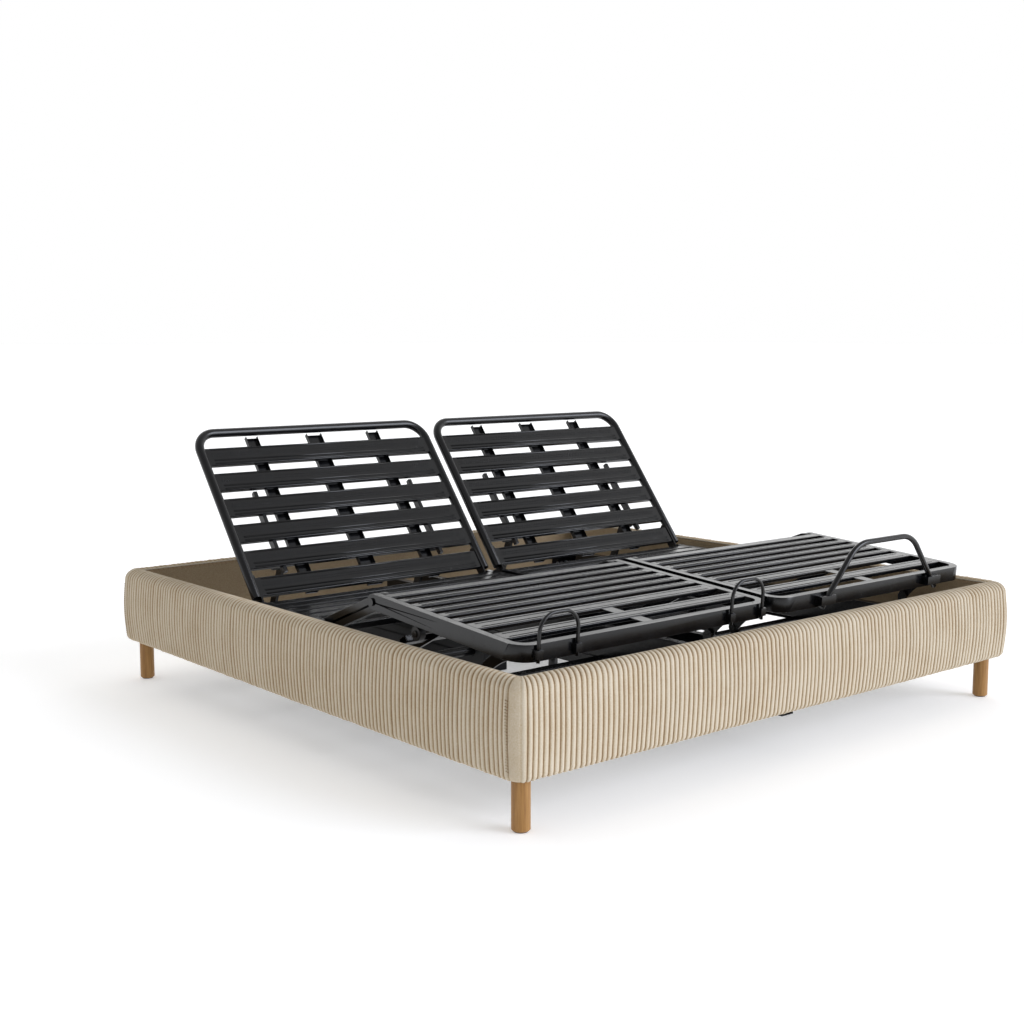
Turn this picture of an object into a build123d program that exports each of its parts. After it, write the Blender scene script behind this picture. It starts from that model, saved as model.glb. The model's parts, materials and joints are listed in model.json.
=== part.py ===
from build123d import *
import math
import os

# A double adjustable bed base: an upholstered surround on round wooden legs, with two
# side-by-side steel decks inside it.  Each deck has a lifting back, a fixed seat, and a
# thigh and calf section that rise together.
# Millimetres.  X is across the bed, +Y is towards the head, +Z is up.
# The origin is on the floor, under the middle of the surround.

# ------------------------------------------------------------------ driving sizes
surround_width = 2130.0
surround_length = 2140.0
leg_height = 135.0
rail_height = 253.0
rail_thickness = 60.0
rail_corner_radius = 40.0
rail_top_radius = 28.0
rail_bottom_radius = 18.0
rail_inner_radius = 20.0
board_thickness = 24.0
board_foam_side = 18.0
board_foam_edge = 28.0

leg_diameter = 48.0
leg_inset = 60.0
leg_taper = 3.0
glide_diameter = 36.0
glide_height = 3.0
bracket_plate = 4.0
bracket_reach = 110.0
bracket_outer_margin = 6.0
bracket_flange_height = 120.0
bracket_corner_radius = 28.0
bracket_flange = 3.0
bolt_radius = 4.0
bolt_head_radius = 7.5
bolt_head_height = 5.0
bolt_length = 30.0
stud_radius = 5.0
stud_length = 39.0

deck_gap = 30.0
deck_side_clearance = 40.0
deck_recess = 23.0
back_end_clearance = 15.0
foot_end_clearance = 30.0
seat_length = 360.0
thigh_length = 310.0
back_hinge_y = 320.0

bar_depth = 45.0
bar_width = 25.0
bar_wall = 3.0
lap_gap = 1.0
frame_tube_radius = 15.0
frame_tube_wall = 2.0
back_corner_radius = 70.0
calf_corner_radius = 60.0
slat_wall = 2.0
back_slat_width = 68.0
back_slat_depth = 14.0
back_slat_first = 68.0
back_slat_top_gap = 48.0
back_slat_count = 6
seat_slat_width = 45.0
seat_slat_count = 5
leg_slat_width = 32.0
leg_slat_depth = 12.0
calf_open_length = 330.0
thigh_slat_count = 4
calf_slat_count = 5
wide_slat_width = 55.0
tie_bar_width = 40.0
spine_depth = 15.0
spine_width = 45.0
middle_spine_width = 60.0
spine_share = 0.52
runner_inset = 160.0
runner_width = 14.0
runner_points = 7
runner_rest_bow = 6.0

back_rest_angle = 52.0
back_top_angle = 60.0
thigh_rest_angle = 22.0
calf_rest_fold = 26.0

pin_radius = 6.0
pin_clearance = 0.05
pin_head_radius = 11.0
pin_head_height = 4.0
ear_thickness = 5.0
ear_height = 36.0
ear_length = 100.0

tube_depth_in_rail = 30.0
torque_tube_radius = 15.0
torque_tube_wall = 2.5
torque_tube_clearance = 0.05
back_tube_y = 540.0
leg_tube_y = -230.0
back_arm_length = 222.0
leg_arm_length = 335.0
arm_thickness = 10.0
arm_width = 30.0
arm_eye_radius = 22.0
back_arm_ratio = 1.83
roller_radius = 20.0
roller_bore_clearance = 0.05
axle_radius = 6.0
back_roller_width = 30.0
leg_roller_width = 21.0
roller_gap = 1.0
runner_gap = 1.2
cross_bar_width = 30.0
cross_bar_depth = 20.0

base_rail_inset = 70.0
base_rail_width = 30.0
base_rail_depth = 100.0
base_rail_wall = 2.5
base_rail_drop = 90.0
base_end_margin = 150.0
cross_tube_width = 40.0
cross_tube_depth = 25.0
foot_tube_margin = 80.0
head_tube_margin = 70.0
middle_tube_places = (-330.0, 130.0, 430.0)
post_width = 30.0
seat_cross_places = (40.0, 240.0)
seat_cross_depth = 20.0
seat_cross_width = 30.0

link_width = 32.0
link_thickness = 8.0
link_pivot_from_foot = 224.6
link_pivot_drop = 23.2
link_pin_from_foot = 70.0
link_pin_drop = 14.0
link_eye_clearance = 4.2
link_pin_radius = 5.0
link_bow = 13.0

housing_half_width = 45.0
housing_rise = 5.0
housing_height = 105.0
housing_wall = 3.0
housing_end_margin = 58.0
lever_length = 50.0
lever_half_width = 10.0
lever_thickness = 10.0
slide_gap = 5.5
slide_length = 190.0
slide_half_width = 13.0
slide_height = 22.0
spindle_radius = 6.0
spindle_clearance = 1.0
motor_radius = 30.0
motor_length = 130.0

beam_width = 50.0
beam_depth = 40.0
beam_wall = 2.5
centre_leg_radius = 16.0
centre_leg_places = (-600.0, 0.0, 600.0)
ledger_leg = 40.0
ledger_wall = 4.0
ledger_end_margin = 160.0

rod_standoff = 3.0
loop_rod_radius = 5.0
loop_width = 130.0
loop_height = 78.0
loop_inset = 60.0
bar_rod_radius = 8.5
bar_rod_width = 580.0
bar_rod_height = 135.0
bar_rod_spread = 150.0
bar_rod_bend = 110.0

# ------------------------------------------------------------------ places worked out
half_width = surround_width / 2
half_length = surround_length / 2
inner_half_width = half_width - rail_thickness
inner_half_length = half_length - rail_thickness
rail_bottom = leg_height
rail_top = leg_height + rail_height
deck_top = rail_top - deck_recess
deck_half_width = (inner_half_width - deck_gap / 2 - deck_side_clearance) / 2
back_length = inner_half_length - back_end_clearance - back_hinge_y
deck_centre = deck_half_width + deck_gap / 2
pivot_z = deck_top - bar_depth / 2
thigh_hinge_y = back_hinge_y - seat_length
knee_y = thigh_hinge_y - thigh_length
foot_y = foot_end_clearance - inner_half_length
calf_length = knee_y - foot_y
back_slat_run = back_length - 2 * frame_tube_radius - back_slat_top_gap - back_slat_width / 2 - back_slat_first
back_slat_pitch = back_slat_run / (back_slat_count - 1)
leg_slat_pitch = (calf_length - calf_open_length) / calf_slat_count
spine_spacing = spine_share * deck_half_width
runner_offset = deck_half_width - runner_inset
outer_web = deck_half_width
outer_edge = deck_half_width - bar_width
inner_web = outer_edge - lap_gap
inner_edge = inner_web - bar_width
back_hinge = (back_hinge_y, pivot_z)
thigh_hinge = (thigh_hinge_y, pivot_z)
knee = (knee_y, pivot_z)
slat_bottom = deck_top - leg_slat_depth
tube_centre = deck_half_width - frame_tube_radius
tube_axis_z = deck_top - frame_tube_radius
back_slat_bottom = tube_axis_z - back_slat_depth / 2
base_rail_top = deck_top - base_rail_drop
base_rail_inner = deck_half_width - base_rail_inset
base_rail_half_length = inner_half_length - base_end_margin
cross_tube_places = (
    foot_tube_margin - base_rail_half_length,
    *middle_tube_places,
    base_rail_half_length - head_tube_margin,
)
tube_height = base_rail_top - tube_depth_in_rail
cross_tube_top = base_rail_top - base_rail_depth
cross_tube_bottom = cross_tube_top - cross_tube_depth
base_rail_outer = base_rail_inner + base_rail_width
housing_bottom = cross_tube_top + housing_rise
housing_top = housing_bottom + housing_height
link_pivot = (foot_y + link_pivot_from_foot, pivot_z - link_pivot_drop)
ledger_half_length = inner_half_length - ledger_end_margin
back_roller_inner = runner_offset - back_roller_width / 2
leg_roller_inner = (outer_web + outer_edge - leg_roller_width) / 2


# ------------------------------------------------------------------ shared helpers
def along_x(sketch, x_start, x_end):
    """Give a shape drawn in the Y-Z plane its thickness across the bed."""
    return extrude(Plane.YZ.offset(x_start) * sketch, x_end - x_start)


def block(x_range, y_range, z_range):
    """A plain box between the given limits."""
    size = [high - low for low, high in (x_range, y_range, z_range)]
    middle = [(high + low) / 2 for low, high in (x_range, y_range, z_range)]
    return Pos(*middle) * Box(*size)


def hollow_block(x_range, y_range, z_range, wall, open_axis):
    """A rectangular tube, open at both ends along one axis."""
    ranges = [x_range, y_range, z_range]
    inner = [(low + wall, high - wall) for low, high in ranges]
    inner["xyz".index(open_axis)] = ranges["xyz".index(open_axis)]
    return block(*ranges) - block(*inner)


def rod_x(y, z, radius, x_start, x_end):
    """A round bar across the bed."""
    return along_x(Pos(y, z) * Circle(radius), x_start, x_end)


def tube_x(y, z, radius, wall, x_start, x_end):
    """A round tube across the bed."""
    return along_x(Pos(y, z) * (Circle(radius) - Circle(radius - wall)), x_start, x_end)


def rod_z(x, y, radius, z_start, z_end):
    """An upright round bar."""
    return Pos(x, y, (z_start + z_end) / 2) * Cylinder(radius, z_end - z_start)


def mirrored(shapes):
    """The given shapes and their mirror images across the deck's middle."""
    return list(shapes) + [mirror(shape, about=Plane.YZ) for shape in shapes]


def turned(shape, pivot, degrees):
    """Turn a shape about an axis across the bed, through a (y, z) point."""
    y, z = pivot
    return Pos(0, y, z) * Rot(degrees, 0, 0) * Pos(0, -y, -z) * shape


def raise_back(shape):
    return turned(shape, back_hinge, back_rest_angle)


def raise_thigh(shape):
    return turned(shape, thigh_hinge, -thigh_rest_angle)


def raise_calf(shape):
    return raise_thigh(turned(shape, knee, calf_rest_fold))


def turned_point(point, pivot, degrees):
    """The same turn as turned(), for a (y, z) point."""
    angle = math.radians(degrees)
    dy = point[0] - pivot[0]
    dz = point[1] - pivot[1]
    return (
        pivot[0] + dy * math.cos(angle) - dz * math.sin(angle),
        pivot[1] + dy * math.sin(angle) + dz * math.cos(angle),
    )


def calf_point(point):
    """Where a point of the flat calf section is when the bed is raised to rest."""
    return turned_point(turned_point(point, knee, calf_rest_fold), thigh_hinge, -thigh_rest_angle)


def arm_angle(tube_point, arm_length, line_point, line_angle, drop, steeper):
    """Angle of a lifting arm whose roller centre lies a drop below a sloping surface."""
    normal = math.radians(line_angle + 90)
    offset = (line_point[0] - tube_point[0]) * math.cos(normal)
    offset += (line_point[1] - tube_point[1]) * math.sin(normal)
    swing = math.degrees(math.acos((offset - drop) / arm_length))
    return line_angle + 90 + (swing if steeper else -swing)


def arm_end(tube_point, arm_length, angle):
    """The far end of a lifting arm."""
    turn = math.radians(angle)
    return (tube_point[0] + arm_length * math.cos(turn), tube_point[1] + arm_length * math.sin(turn))


# ------------------------------------------------------------------ the surround
def rail_wedge(turns):
    """The quarter of the plan that one rail fills, with mitred ends."""
    reach = half_width + half_length
    corner = half_length - half_width
    if turns % 2:
        points = [(0, corner), (0, -corner), (reach, -corner - reach), (reach, corner + reach)]
    else:
        points = [(0, corner), (reach, corner + reach), (-reach, corner + reach)]
    plan = make_face(Polyline(points, close=True))
    wedge = extrude(plan, rail_top + leg_height)
    return wedge if turns < 2 else Rot(0, 0, 180) * wedge


def rail_section(half_span):
    """Cross-section of an upholstered rail, standing at the given distance out."""
    middle = half_span - rail_thickness / 2
    outline = Pos(middle, (rail_bottom + rail_top) / 2) * Rectangle(rail_thickness, rail_height)
    corners = outline.vertices()
    top_outer = corners.sort_by(Axis.Y)[-2:].sort_by(Axis.X)[-1]
    top_inner = corners.sort_by(Axis.Y)[-2:].sort_by(Axis.X)[0]
    outline = fillet([top_outer], rail_top_radius)
    outline = fillet([near_corner(outline, half_span - rail_thickness, rail_top)], rail_inner_radius)
    bottom = [near_corner(outline, x, rail_bottom) for x in (half_span, half_span - rail_thickness)]
    return fillet(bottom, rail_bottom_radius)


def near_corner(outline, x, y):
    """The corner of a flat outline that is closest to a point."""
    return min(outline.vertices(), key=lambda v: math.hypot(v.X - x, v.Y - y))


def board_section(half_span):
    """Cross-section of the timber board inside a rail."""
    width_middle = half_span - board_foam_side - board_thickness / 2
    height = rail_height - 2 * board_foam_edge
    return Pos(width_middle, (rail_bottom + rail_top) / 2) * Rectangle(board_thickness, height)


def rail_run(section, turns):
    """Extend a section along one rail and cut its ends to the mitres."""
    reach = half_width + half_length
    run = extrude(Plane.XZ.offset(-reach) * section, 2 * reach)
    return Rot(0, 0, 90 - 90 * turns) * run & rail_wedge(turns)


def corner_places():
    """Leg centres, with the signs of their corner."""
    x = half_width - leg_inset
    y = half_length - leg_inset
    return [(sx * x, sy * y, sx, sy) for sx in (-1, 1) for sy in (-1, 1)]


def bracket_bolt_places():
    """Bolt axes of the corner brackets: head point, direction and corner."""
    places = []
    along = (bracket_reach * 0.3, bracket_reach * 0.75)
    for sx in (-1, 1):
        for sy in (-1, 1):
            for step in along:
                z = rail_bottom + bracket_flange_height * 0.6
                places.append(("x", sx, sy, sx * inner_half_width, sy * (inner_half_length - step), z))
                places.append(("y", sx, sy, sx * (inner_half_width - step), sy * inner_half_length, z))
    return places


def bracket_bolts(hole=False):
    """Hexagon-head bolts through the bracket flanges into the boards."""
    bolts = []
    for axis, sx, sy, x, y, z in bracket_bolt_places():
        sign = sx if axis == "x" else sy
        shank = Pos(0, 0, bolt_length / 2) * Cylinder(bolt_radius, bolt_length)
        if not hole:
            head = Pos(0, 0, -bolt_head_height) * extrude(RegularPolygon(bolt_head_radius, 6), bolt_head_height)
            shank = shank + head
        tilt = Rot(0, 90 * sign, 0) if axis == "x" else Rot(-90 * sign, 0, 0)
        inward = bracket_flange * sign
        place = Pos(x - inward, y, z) if axis == "x" else Pos(x, y - inward, z)
        bolts.append(place * tilt * shank)
    return bolts


def rails():
    """Four padded covers, and the four boards that they are wrapped round."""
    plan = extrude(RectangleRounded(surround_width, surround_length, rail_corner_radius), rail_top)
    holes = bracket_bolts(hole=True)
    covers = {}
    boards = []
    for turns, name in enumerate(("head", "side_right", "foot", "side_left")):
        half_span = half_width if turns % 2 else half_length
        board = rail_run(board_section(half_span), turns)
        cover = (rail_run(rail_section(half_span), turns) & plan) - board
        for hole in holes:
            cover = cover - hole
            board = board - hole
        covers["cover_" + name] = cover
        boards.append(board)
    return covers, boards


def corner_brackets():
    """A leg plate with two upright flanges, one for each corner."""
    brackets = []
    holes = bracket_bolts(hole=True)
    for x, y, sx, sy in corner_places():
        low = rail_bottom - bracket_plate
        outer_reach = leg_diameter / 2 + bracket_outer_margin
        plate_size = bracket_reach / 2 + outer_reach
        shift = (bracket_reach / 2 - outer_reach) / 2
        outline = RectangleRounded(plate_size, plate_size, bracket_corner_radius)
        plate = Pos(x - sx * shift, y - sy * shift, low) * extrude(outline, bracket_plate)
        along_side = [sy * (inner_half_length - bracket_reach), sy * inner_half_length]
        across = [sx * (inner_half_width - bracket_reach), sx * inner_half_width]
        thin_x = sorted([sx * (inner_half_width - bracket_flange), sx * inner_half_width])
        thin_y = sorted([sy * (inner_half_length - bracket_flange), sy * inner_half_length])
        top = rail_bottom + bracket_flange_height
        bracket = plate + block(thin_x, sorted(along_side), (low, top)) + block(sorted(across), thin_y, (low, top))
        for hole in holes:
            bracket = bracket - hole
        bracket = bracket - rod_z(x, y, stud_radius, low, rail_bottom)
        brackets.append(bracket)
    return brackets


def corner_legs():
    """Turned round legs, their studs, and the glides under all the legs."""
    legs = []
    studs = []
    glides = []
    top = rail_bottom - bracket_plate
    for x, y, _, _ in corner_places():
        leg = Pos(x, y, glide_height) * extrude(Circle(leg_diameter / 2), top - glide_height)
        leg = chamfer(leg.edges().group_by(Axis.Z)[0], leg_taper)
        legs.append(leg - rod_z(x, y, stud_radius, rail_bottom - stud_length, top))
        studs.append(rod_z(x, y, stud_radius, rail_bottom - stud_length, rail_bottom))
        glides.append(rod_z(x, y, glide_diameter / 2, 0, glide_height))
    for y in centre_leg_places:
        glides.append(rod_z(0, y, centre_leg_radius, 0, glide_height))
    return legs, studs, glides


def centre_support():
    """The beam under the middle of the bed, and its tubular legs."""
    beam_top = cross_tube_bottom
    beam = hollow_block(
        (-beam_width / 2, beam_width / 2),
        (-inner_half_length, inner_half_length),
        (beam_top - beam_depth, beam_top),
        beam_wall,
        "y",
    )
    legs = []
    for y in centre_leg_places:
        solid = rod_z(0, y, centre_leg_radius, glide_height, beam_top - beam_depth)
        bore = rod_z(0, y, centre_leg_radius - beam_wall, glide_height + beam_wall, beam_top - beam_depth)
        legs.append(solid - bore)
    return beam, legs


def side_ledgers():
    """Steel angles along the side rails that carry the base frames."""
    wall_x = inner_half_width
    span = (-ledger_half_length, ledger_half_length)
    shelf = block((wall_x - ledger_leg, wall_x), span, (cross_tube_bottom - ledger_wall, cross_tube_bottom))
    upright = block((wall_x - ledger_wall, wall_x), span, (cross_tube_bottom, cross_tube_bottom + ledger_leg))
    return mirrored([shelf + upright])


# ------------------------------------------------------------------ one deck, lying flat
def tray_bar(y_start, y_end, web_x, edge_x, round_end=True):
    """A pressed side bar: a web with a rim all round, its ends rounded about the pivots."""
    def outline(inset):
        radius = bar_depth / 2 - inset
        far = y_end if round_end else y_end + inset * math.copysign(1, y_start - y_end)
        length = abs(far - y_start)
        shape = Pos((y_start + far) / 2, pivot_z) * Rectangle(length, 2 * radius)
        shape = shape + Pos(y_start, pivot_z) * Circle(radius)
        return shape + Pos(y_end, pivot_z) * Circle(radius) if round_end else shape
    return along_x(outline(0), edge_x, web_x) - along_x(outline(bar_wall), edge_x, web_x - bar_wall)


def slat(y_middle, width, half_span, top, depth):
    """A pressed steel slat: a shallow channel with its open side down."""
    outline = Pos(y_middle, top - depth / 2) * Rectangle(width, depth)
    upper = outline.vertices().sort_by(Axis.Y)[-2:]
    outline = fillet(upper, depth / 4)
    hollow = Pos(y_middle, top - slat_wall - depth / 2) * Rectangle(width - 2 * slat_wall, depth)
    return along_x(outline - hollow, -half_span, half_span)


def drill(shapes, y, z, radius):
    """Bore a hole right across the deck."""
    hole = rod_x(y, z, radius, -2 * deck_half_width, 2 * deck_half_width)
    return [shape - hole for shape in shapes]


def pivot_pins(y, z, x_inner, x_web, radius=pin_radius, head_gap=0.0):
    """A pair of shoulder pins with their heads outside the web."""
    head_start = x_web + head_gap
    pin = rod_x(y, z, radius, x_inner, head_start)
    head = rod_x(y, z, pin_head_radius, head_start, head_start + pin_head_height)
    return mirrored([pin + head])


def back_section():
    """Round tube frame, slats, spines and runners of the back."""
    end_y = back_hinge_y + back_length
    arc_y = end_y - frame_tube_radius - back_corner_radius
    arc_x = tube_centre - back_corner_radius
    start_y = back_hinge_y + 2 * frame_tube_radius
    ring = Circle(frame_tube_radius) - Circle(frame_tube_radius - frame_tube_wall)
    side = extrude(Plane.XZ.offset(-start_y) * (Pos(tube_centre, tube_axis_z) * ring), start_y - arc_y)
    ear_middle = back_hinge_y + ear_length / 2
    ear = along_x(
        Pos(ear_middle, pivot_z) * SlotCenterToCenter(ear_length, ear_height),
        inner_web - ear_thickness,
        inner_web,
    )
    bore = extrude(
        Plane.XZ.offset(-start_y) * (Pos(tube_centre, tube_axis_z) * Circle(frame_tube_radius - frame_tube_wall)),
        start_y - arc_y,
    )
    side = side + (ear - bore)
    side = side - rod_x(back_hinge_y, pivot_z, pin_radius + pin_clearance, 0, deck_half_width)
    corner_axis = Axis((arc_x, arc_y, 0), (0, 0, 1))
    bend_start = Plane.XZ.offset(-arc_y) * Pos(tube_centre, tube_axis_z)
    bend = revolve(bend_start * ring, axis=corner_axis, revolution_arc=90)
    top = along_x(Pos(end_y - frame_tube_radius, tube_axis_z) * ring, -arc_x, arc_x)
    frame = mirrored([side, bend]) + [top]

    slats = []
    solid_ring = Circle(frame_tube_radius)
    solid_side = extrude(Plane.XZ.offset(-start_y) * (Pos(tube_centre, tube_axis_z) * solid_ring), start_y - arc_y)
    solid_bend = revolve(bend_start * solid_ring, axis=corner_axis, revolution_arc=90)
    solid_tubes = mirrored([solid_side, solid_bend, ear])
    for index in range(back_slat_count):
        y = back_hinge_y + back_slat_first + index * back_slat_pitch
        piece = slat(y, back_slat_width, tube_centre, back_slat_bottom + back_slat_depth, back_slat_depth)
        for tube in solid_tubes:
            piece = piece - tube
        slats.append(piece)

    first = back_hinge_y + back_slat_first - back_slat_width / 2
    last = back_hinge_y + back_length - 2 * frame_tube_radius
    spines = []
    for x, width in ((-spine_spacing, spine_width), (0, middle_spine_width), (spine_spacing, spine_width)):
        sides = (x - width / 2, x + width / 2)
        heights = (back_slat_bottom - spine_depth, back_slat_bottom)
        inner = (sides[0] + slat_wall, sides[1] - slat_wall)
        spines.append(block(sides, (first, last), heights) - block(inner, (first, last), (heights[0] + slat_wall, heights[1])))
    spines += mirrored([back_runner()])
    return frame, slats, spines


def roller_place_in_back(angle):
    """Roller centre, seen from the flat back, when the back stands at an angle."""
    lift = back_arm_rest_angle() + back_arm_ratio * (angle - back_rest_angle)
    centre = arm_end((back_tube_y, tube_height), back_arm_length, lift)
    return turned_point(centre, back_hinge, -angle)


def back_arm_rest_angle():
    """The arm's angle when its roller meets the runner at the rest pose."""
    drop = pivot_z - back_slat_bottom + spine_depth + roller_radius + runner_gap + runner_rest_bow
    return arm_angle((back_tube_y, tube_height), back_arm_length, back_hinge, back_rest_angle, drop, False)


def back_runner():
    """A bowed runner under the slats that the lifting roller follows."""
    rise = roller_radius + runner_gap
    points = []
    for step in range(runner_points):
        angle = back_top_angle * step / (runner_points - 1)
        y, z = roller_place_in_back(angle)
        near = roller_place_in_back(angle - 1)
        far = roller_place_in_back(angle + 1)
        run = math.hypot(near[0] - far[0], near[1] - far[1])
        points.append((y - rise * (near[1] - far[1]) / run, z + rise * (near[0] - far[0]) / run))
    top_z = back_slat_bottom
    track = Spline(*points)
    rim = Polyline(points[-1], (points[-1][0], top_z), (points[0][0], top_z), points[0])
    return along_x(make_face([track, rim]), runner_offset - runner_width / 2, runner_offset + runner_width / 2)


def seat_section():
    """Fixed seat: side bars, cross tubes, posts and slats."""
    bars = drill(
        mirrored([tray_bar(thigh_hinge_y, back_hinge_y, outer_web, outer_edge)]), back_hinge_y, pivot_z, pin_radius
    )
    bars = drill(bars, thigh_hinge_y, pivot_z, pin_radius)
    frame = list(bars)
    cross_top = pivot_z - bar_depth / 2
    for y in seat_cross_places:
        spread = (y - seat_cross_width / 2, y + seat_cross_width / 2)
        heights = (cross_top - seat_cross_depth, cross_top)
        frame.append(hollow_block((-outer_web, outer_web), spread, heights, slat_wall, "x"))
        post_x = (base_rail_inner, base_rail_inner + post_width)
        post_z = (base_rail_top, heights[0])
        frame += mirrored([hollow_block(post_x, spread, post_z, slat_wall, "z")])
    slats = []
    run = seat_length - 2 * bar_width
    for index in range(seat_slat_count):
        y = thigh_hinge_y + bar_width + run * (index + 0.5) / seat_slat_count
        slats.append(slat(y, seat_slat_width, outer_edge, deck_top, leg_slat_depth))
    return frame, slats


def thigh_section():
    """Thigh frame, between the outer bars, and its slats."""
    bars = drill(mirrored([tray_bar(knee_y, thigh_hinge_y, inner_web, inner_edge)]), thigh_hinge_y, pivot_z,
                 pin_radius + pin_clearance)
    bars = drill(bars, knee_y, pivot_z, pin_radius)
    brace_y = (thigh_hinge_y + knee_y) / 2
    brace = hollow_block(
        (-inner_edge, inner_edge),
        (brace_y - seat_cross_width / 2, brace_y + seat_cross_width / 2),
        (slat_bottom - seat_cross_depth, slat_bottom),
        slat_wall,
        "x",
    )
    slats = []
    run = thigh_length - 2 * bar_width
    for index in range(thigh_slat_count):
        y = thigh_hinge_y - bar_width - run * (index + 0.5) / thigh_slat_count
        slats.append(slat(y, leg_slat_width, inner_edge, deck_top, leg_slat_depth))
    return bars + [brace], slats


def calf_section():
    """Calf frame with rounded foot corners, and its slats and tie bars."""
    arc_y = foot_y + calf_corner_radius
    arc_x = outer_web - calf_corner_radius
    side = tray_bar(knee_y, arc_y, outer_web, outer_edge, round_end=False)
    side = side + block((outer_edge, outer_web), (arc_y, arc_y + bar_wall), (deck_top - bar_depth, deck_top))
    bars = drill(mirrored([side]), knee_y, pivot_z, pin_radius + pin_clearance)
    ring = Circle(calf_corner_radius) - Circle(calf_corner_radius - bar_width)
    cavity = Circle(calf_corner_radius - bar_wall) - Circle(calf_corner_radius - bar_width)
    quarter = Pos(calf_corner_radius / 2, -calf_corner_radius / 2) * Rectangle(calf_corner_radius, calf_corner_radius)
    bottom = deck_top - bar_depth
    corner = extrude(ring & quarter, bar_depth)
    corner = corner - Pos(0, 0, bar_wall) * extrude(cavity & quarter, bar_depth - 2 * bar_wall)
    corner = Pos(arc_x, arc_y, bottom) * corner
    foot = block((-arc_x, arc_x), (foot_y, foot_y + bar_width), (bottom, deck_top))
    foot = foot - block((-arc_x, arc_x), (foot_y + bar_wall, foot_y + bar_width), (bottom + bar_wall, deck_top - bar_wall))
    knee_bar_y = knee_y - bar_depth / 2 - lap_gap - leg_slat_width / 2
    knee_bar = slat(knee_bar_y, leg_slat_width, outer_edge, deck_top, leg_slat_depth)
    frame = bars + mirrored([corner]) + [foot, knee_bar]

    slats = []
    for index in range(calf_slat_count):
        y = knee_bar_y - (index + 1) * leg_slat_pitch
        slats.append(slat(y, leg_slat_width, outer_edge, deck_top, leg_slat_depth))
    wide_y = y - leg_slat_pitch - (wide_slat_width - leg_slat_width) / 2
    slats.append(slat(wide_y, wide_slat_width, outer_edge, deck_top, leg_slat_depth))
    gap_end = foot_y + bar_width
    gap_start = wide_y - wide_slat_width / 2
    last_y = (gap_start + gap_end) / 2
    slats.append(slat(last_y, wide_slat_width, outer_edge, deck_top, leg_slat_depth))
    half_tie = tie_bar_width / 2
    for near, far in ((last_y + wide_slat_width / 2, gap_start), (gap_end, last_y - wide_slat_width / 2)):
        slats.append(block((-half_tie, half_tie), (near, far), (deck_top - slat_wall * 2, deck_top - slat_wall)))
    return frame, slats


def arch(width, height, radius, rod_radius, spread):
    """A bent rod standing on two feet, drawn in the X-Z plane with its feet at z = 0."""
    foot = width / 2
    shoulder = foot - spread
    points = [(-foot, 0), (-shoulder, height), (shoulder, height), (foot, 0)]
    path = Plane.XZ * FilletPolyline(*points, radius=radius)
    start = path @ 0
    return sweep(Plane(origin=start, z_dir=path % 0) * Circle(rod_radius), path=path)


def loop_retainers():
    """Two small rod loops that keep a mattress on the deck, one by each foot corner."""
    pieces = []
    for side in (-1, 1):
        x = side * (deck_half_width - calf_corner_radius - loop_inset)
        loop = arch(loop_width, loop_height + bar_depth, loop_width / 2.6, loop_rod_radius, 0.0)
        y = foot_y - loop_rod_radius - rod_standoff
        loop = Pos(x, y, deck_top - bar_depth) * loop
        clips = []
        for end in (-1, 1):
            clip_x = x + end * loop_width / 2
            clip = block(
                (clip_x - 2 * loop_rod_radius, clip_x + 2 * loop_rod_radius),
                (y - loop_rod_radius - rod_standoff, foot_y),
                (deck_top - bar_depth * 0.75, deck_top - bar_depth * 0.25),
            )
            clips.append(clip - rod_z(clip_x, y, loop_rod_radius, 0, 2 * deck_top))
        pieces += [loop] + clips
    return pieces


def bar_retainer():
    """One wide tubular bar that keeps a mattress on the deck."""
    bar = arch(bar_rod_width, bar_rod_height + bar_depth, bar_rod_bend, bar_rod_radius, bar_rod_spread)
    y = foot_y - bar_rod_radius - rod_standoff
    bar = Pos(0, y, deck_top - bar_depth) * bar
    clips = []
    for end in (-1, 1):
        clip_x = end * bar_rod_width / 2
        lean = bar_rod_spread * bar_depth / (bar_rod_height + bar_depth) / 2
        clip = block(
            (clip_x - 4 * bar_rod_radius - end * lean, clip_x + 4 * bar_rod_radius - end * lean),
            (y - bar_rod_radius - rod_standoff, foot_y),
            (deck_top - bar_depth * 0.8, deck_top - bar_depth * 0.2),
        )
        clips.append(clip - bar)
    return [bar] + clips


# ------------------------------------------------------------------ lifting gear of one deck
def calf_links():
    """Bowed links that swing the foot end of the calf section up."""
    pin_flat = (foot_y + link_pin_from_foot, pivot_z - link_pin_drop)
    far = calf_point(pin_flat)
    near = link_pivot
    middle = ((near[0] + far[0]) / 2, (near[1] + far[1]) / 2)
    span = math.hypot(far[0] - near[0], far[1] - near[1])
    across = ((far[1] - near[1]) / span, -(far[0] - near[0]) / span)
    crown = (middle[0] + across[0] * link_bow, middle[1] + across[1] * link_bow)
    shape = SlotArc(ThreePointArc(near, crown, far), link_width)
    shape = shape - Pos(*near) * Circle(pin_radius + pin_clearance)
    shape = shape - Pos(*far) * Circle(link_pin_radius + link_eye_clearance)
    inner = base_rail_outer - lap_gap
    links = mirrored([along_x(shape, inner, inner + link_thickness)])
    pin_x = (inner - lap_gap - 3 * lap_gap, outer_web - bar_wall)
    pin = rod_x(*pin_flat, link_pin_radius, *pin_x)
    cap = rod_x(*pin_flat, pin_head_radius + lap_gap, pin_x[0] - 2 * lap_gap, inner - lap_gap)
    return links, [raise_calf(piece) for piece in mirrored([pin + cap])]


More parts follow.
